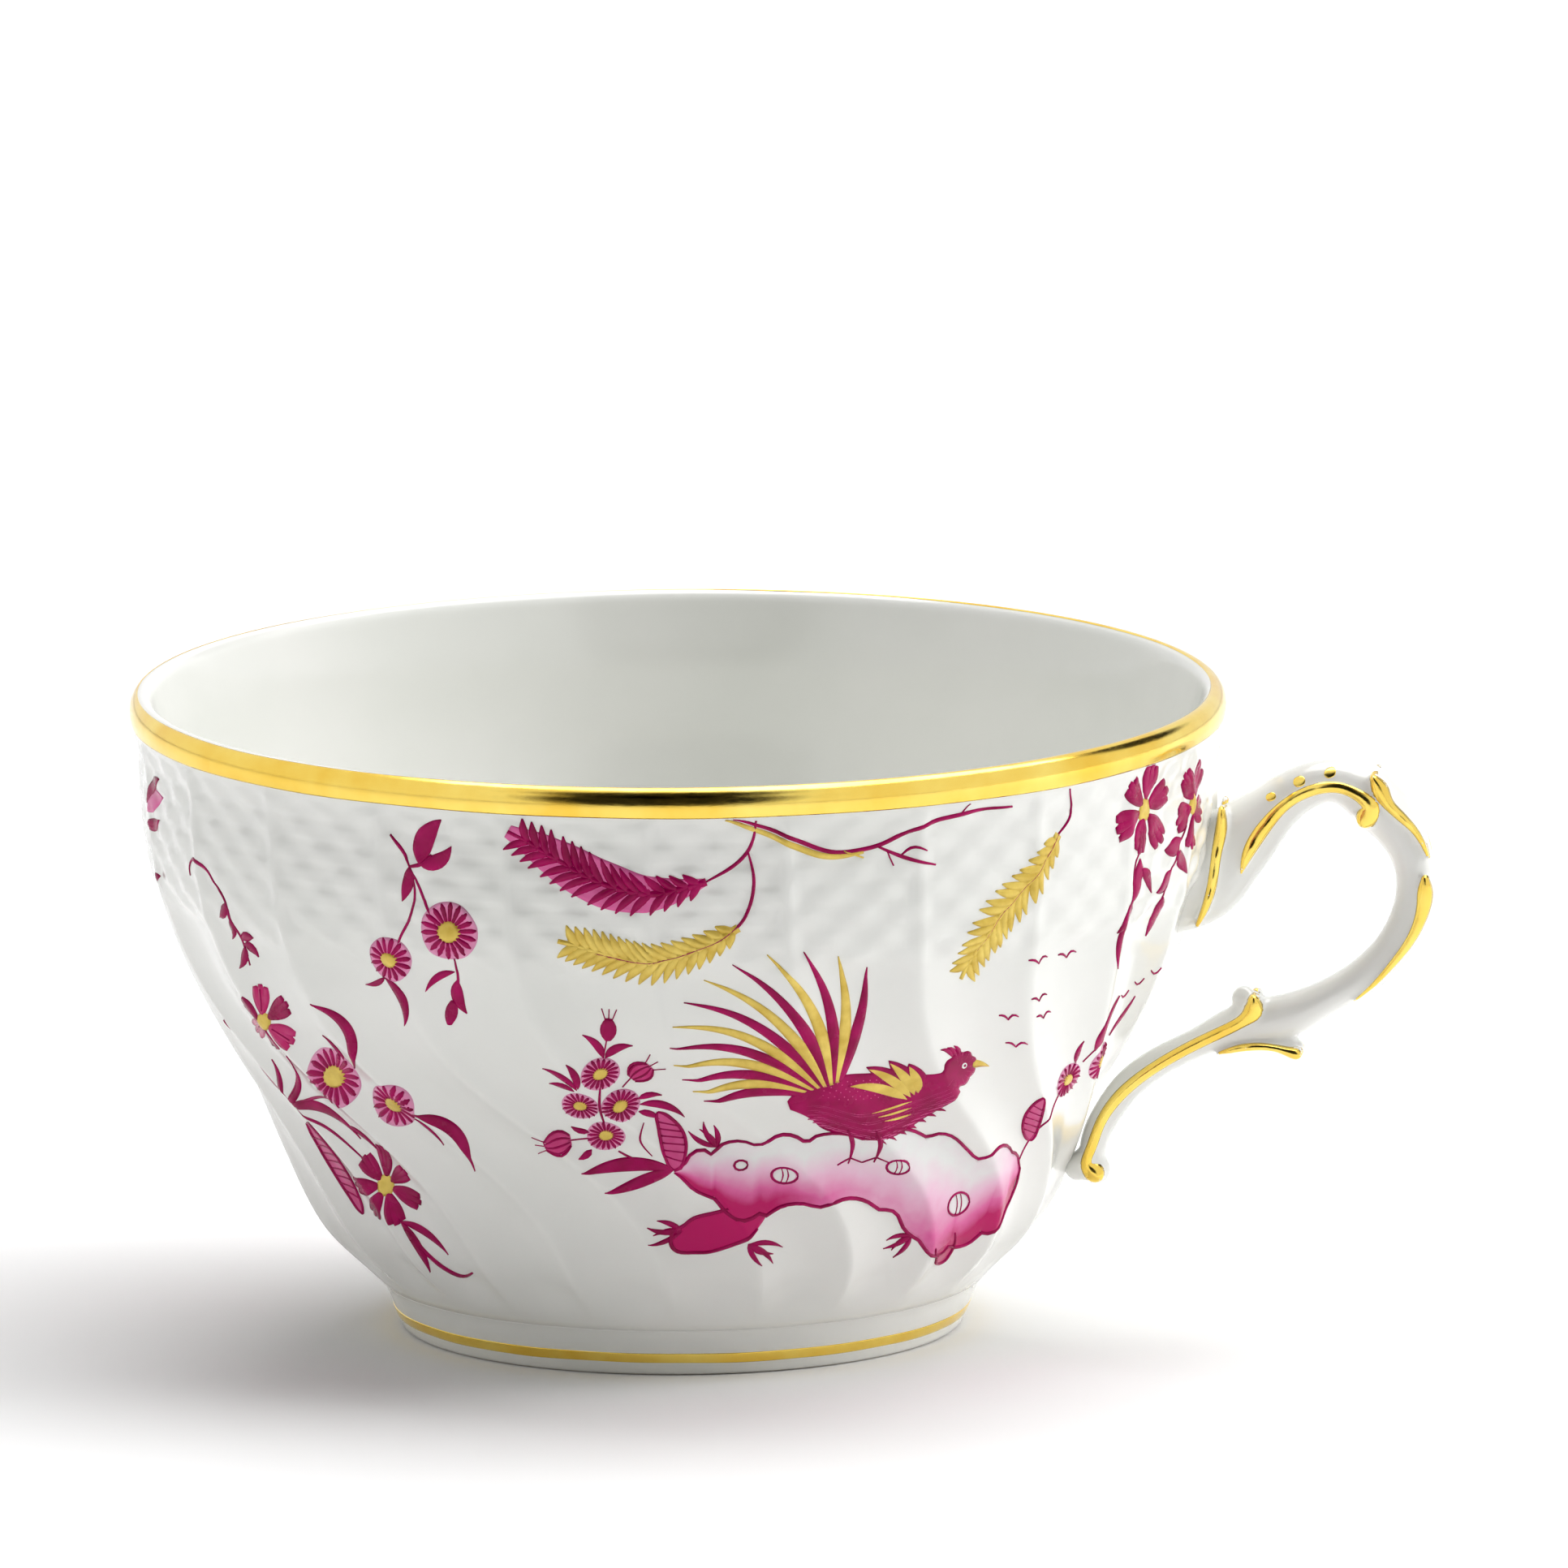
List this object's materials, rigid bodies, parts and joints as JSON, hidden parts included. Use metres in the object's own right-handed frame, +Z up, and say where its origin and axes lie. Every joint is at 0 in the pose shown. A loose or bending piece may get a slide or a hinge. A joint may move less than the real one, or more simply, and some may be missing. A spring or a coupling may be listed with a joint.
{
  "type": "teacup",
  "caption": "Low white porcelain teacup with swirled flutes, a basketweave band, a scrolled twig handle, gilded edges and painted flowers, feathers and a bird.",
  "frame": {"origin": "the cup's axis at the plane that the foot stands on", "axes": "+Z up along the cup's axis, +X along the handle"},
  "size_m": [0.1146, 0.0962, 0.0566],
  "materials": {
    "bowl_glaze": "gloss white glaze",
    "foot_glaze": "gloss white glaze with an unglazed matt land",
    "handle_glaze": "gloss white glaze",
    "rim_gold": "burnished gilding",
    "foot_gold": "burnished gilding",
    "handle_gold": "burnished gilding",
    "magenta_enamel": "fired gloss enamel",
    "rose_wash": "fired translucent wash",
    "gilt_enamel": "satin yellow gold paint"
  },
  "bodies": {
    "root": {"bowl": "bowl_glaze", "foot_ring": "foot_glaze", "handle": "handle_glaze", "rim_gilding": "rim_gold", "foot_gilding": "foot_gold", "handle_collar_gilding": "handle_gold", "handle_arch_gilding": "handle_gold", "handle_crest_dots": "handle_gold", "handle_knuckle_gilding": "handle_gold", "handle_back_gilding": "handle_gold", "handle_strut_gilding": "handle_gold", "handle_spur_gilding": "handle_gold", "left_spray_enamel": "magenta_enamel", "hanging_spray_enamel": "magenta_enamel", "feather_pair_enamel": "magenta_enamel", "twig_enamel": "magenta_enamel", "gilt_feather_enamel": "gilt_enamel", "rim_spray_enamel": "magenta_enamel", "distant_birds_enamel": "magenta_enamel", "bouquet_enamel": "magenta_enamel", "bird_enamel": "magenta_enamel", "rock_enamel": "rose_wash", "handle_spray_enamel": "magenta_enamel", "back_left_spray_enamel": "magenta_enamel", "back_feather_enamel": "magenta_enamel", "back_bird_enamel": "magenta_enamel", "back_rock_enamel": "rose_wash", "back_bouquet_enamel": "magenta_enamel", "back_hanging_spray_enamel": "magenta_enamel", "back_right_spray_enamel": "magenta_enamel"}
  },
  "joints": []
}
